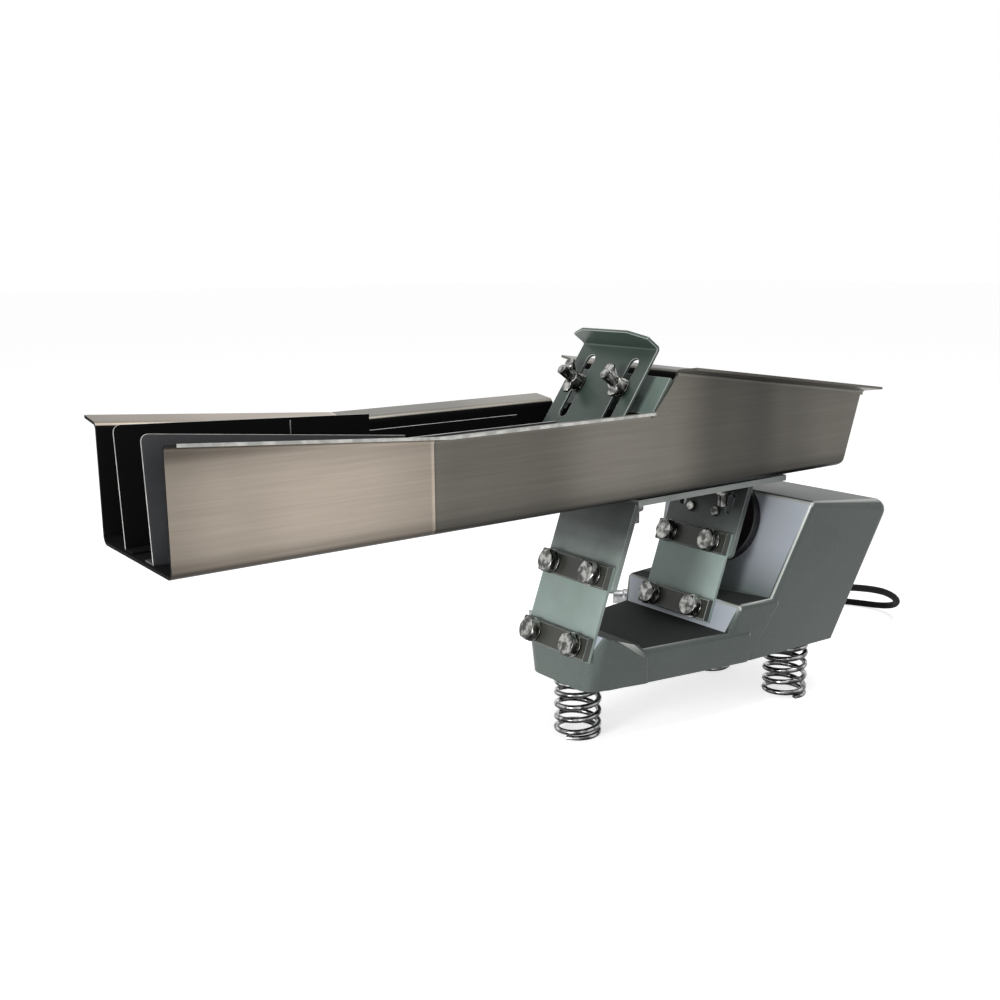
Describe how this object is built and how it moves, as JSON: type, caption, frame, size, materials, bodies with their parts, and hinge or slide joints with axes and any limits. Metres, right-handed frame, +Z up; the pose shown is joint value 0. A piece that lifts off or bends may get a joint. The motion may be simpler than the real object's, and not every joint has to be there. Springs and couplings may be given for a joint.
{
  "type": "linear vibratory feeder",
  "caption": "Linear vibratory feeder: a long steel trough with a hopper and gate, on leaning leaf springs over a sprung cast base with an electromagnet.",
  "frame": {"origin": "on the floor under the centre of the part's length and width, cable left out", "axes": "+X along the trough from the discharge end to the hopper, +Y to the far side, +Z up"},
  "size_m": [0.8474, 0.3488, 0.3317],
  "materials": {
    "base_paint": "grey-green hammered enamel",
    "spring_steel": "bright spring wire",
    "laminate": "pale green fibreglass laminate",
    "clamp_black": "dark olive paint",
    "zinc": "zinc plated",
    "gate_paint": "dark green enamel",
    "plate_paint": "light green enamel",
    "discharge_sheet": "brushed stainless sheet, warm",
    "trough_sheet": "brushed stainless sheet",
    "divider_sheet": "brushed stainless sheet",
    "magnet_black": "black moulded",
    "copper": "varnished winding in resin",
    "core_steel": "laminated electrical steel",
    "gland_plastic": "black nylon",
    "cable_rubber": "black rubber sheath",
    "plug_metal": "satin"
  },
  "bodies": {
    "feet": {"support_spring_front": "spring_steel", "support_spring_rear_near": "spring_steel", "support_spring_rear_far": "spring_steel", "cable_coil": "cable_rubber", "cable_tie": "gland_plastic", "cable_tail": "cable_rubber", "connector": "plug_metal"},
    "base": {"base_casting": "base_paint", "front_leaf_spring": "laminate", "rear_leaf_spring": "laminate", "front_lower_clamp": "clamp_black", "rear_lower_clamp": "clamp_black", "front_lower_washers": "zinc", "rear_lower_washers": "zinc", "front_lower_bolts": "zinc", "rear_lower_bolts": "zinc", "magnet_housing": "magnet_black", "magnet_coil": "copper", "magnet_core": "core_steel", "cable_gland": "gland_plastic", "gland_nut": "gland_plastic", "cable": "cable_rubber"},
    "trough": {"front_upper_clamp": "clamp_black", "rear_upper_clamp": "clamp_black", "front_upper_washers": "zinc", "rear_upper_washers": "zinc", "front_upper_bolts": "zinc", "rear_upper_bolts": "zinc", "front_upper_nuts": "zinc", "rear_upper_nuts": "zinc", "trough_spacers": "zinc", "trough_bolts": "zinc", "trough_washers": "zinc", "trough_nuts": "zinc", "gate_studs": "zinc", "gate_washers": "zinc", "armature_screws": "zinc", "trough_bracket": "gate_paint", "hopper_front_plate": "plate_paint", "trough_discharge_section": "discharge_sheet", "trough_body": "trough_sheet", "lane_divider_near": "divider_sheet", "lane_divider_far": "divider_sheet", "armature": "core_steel"},
    "gate": {"gate_plate": "gate_paint"},
    "wing_nut_near": {"wing_nut_near": "zinc"},
    "wing_nut_far": {"wing_nut_far": "zinc"}
  },
  "joints": [
    {"name": "base_bounce", "type": "slide", "parent": "feet", "child": "base", "axis": [0, 0, 1], "range_m": [-0.002, 0.002], "stiffness_N_per_m": 39000, "springref_m": 0.00414, "deforming": ["support_spring_front", "support_spring_rear_near", "support_spring_rear_far"]},
    {"name": "trough_throw", "type": "slide", "parent": "base", "child": "trough", "axis": [0.9397, 0, -0.342], "range_m": [-0.001, 0.001], "stiffness_N_per_m": 200000, "springref_m": -0.00009, "deforming": ["front_leaf_spring", "rear_leaf_spring"]},
    {"name": "gate_slide", "type": "slide", "parent": "trough", "child": "gate", "axis": [0.5793, 0, 0.8151], "range_m": [-0.016, 0.024]},
    {"name": "wing_nut_near_turn", "type": "hinge", "parent": "trough", "child": "wing_nut_near", "pos_m": [0.05638, -0.0255, 0.28707], "axis": [-0.8151, 0, 0.5793], "continuous": true},
    {"name": "wing_nut_far_turn", "type": "hinge", "parent": "trough", "child": "wing_nut_far", "pos_m": [0.05638, 0.0255, 0.28707], "axis": [-0.8151, 0, 0.5793], "continuous": true}
  ]
}
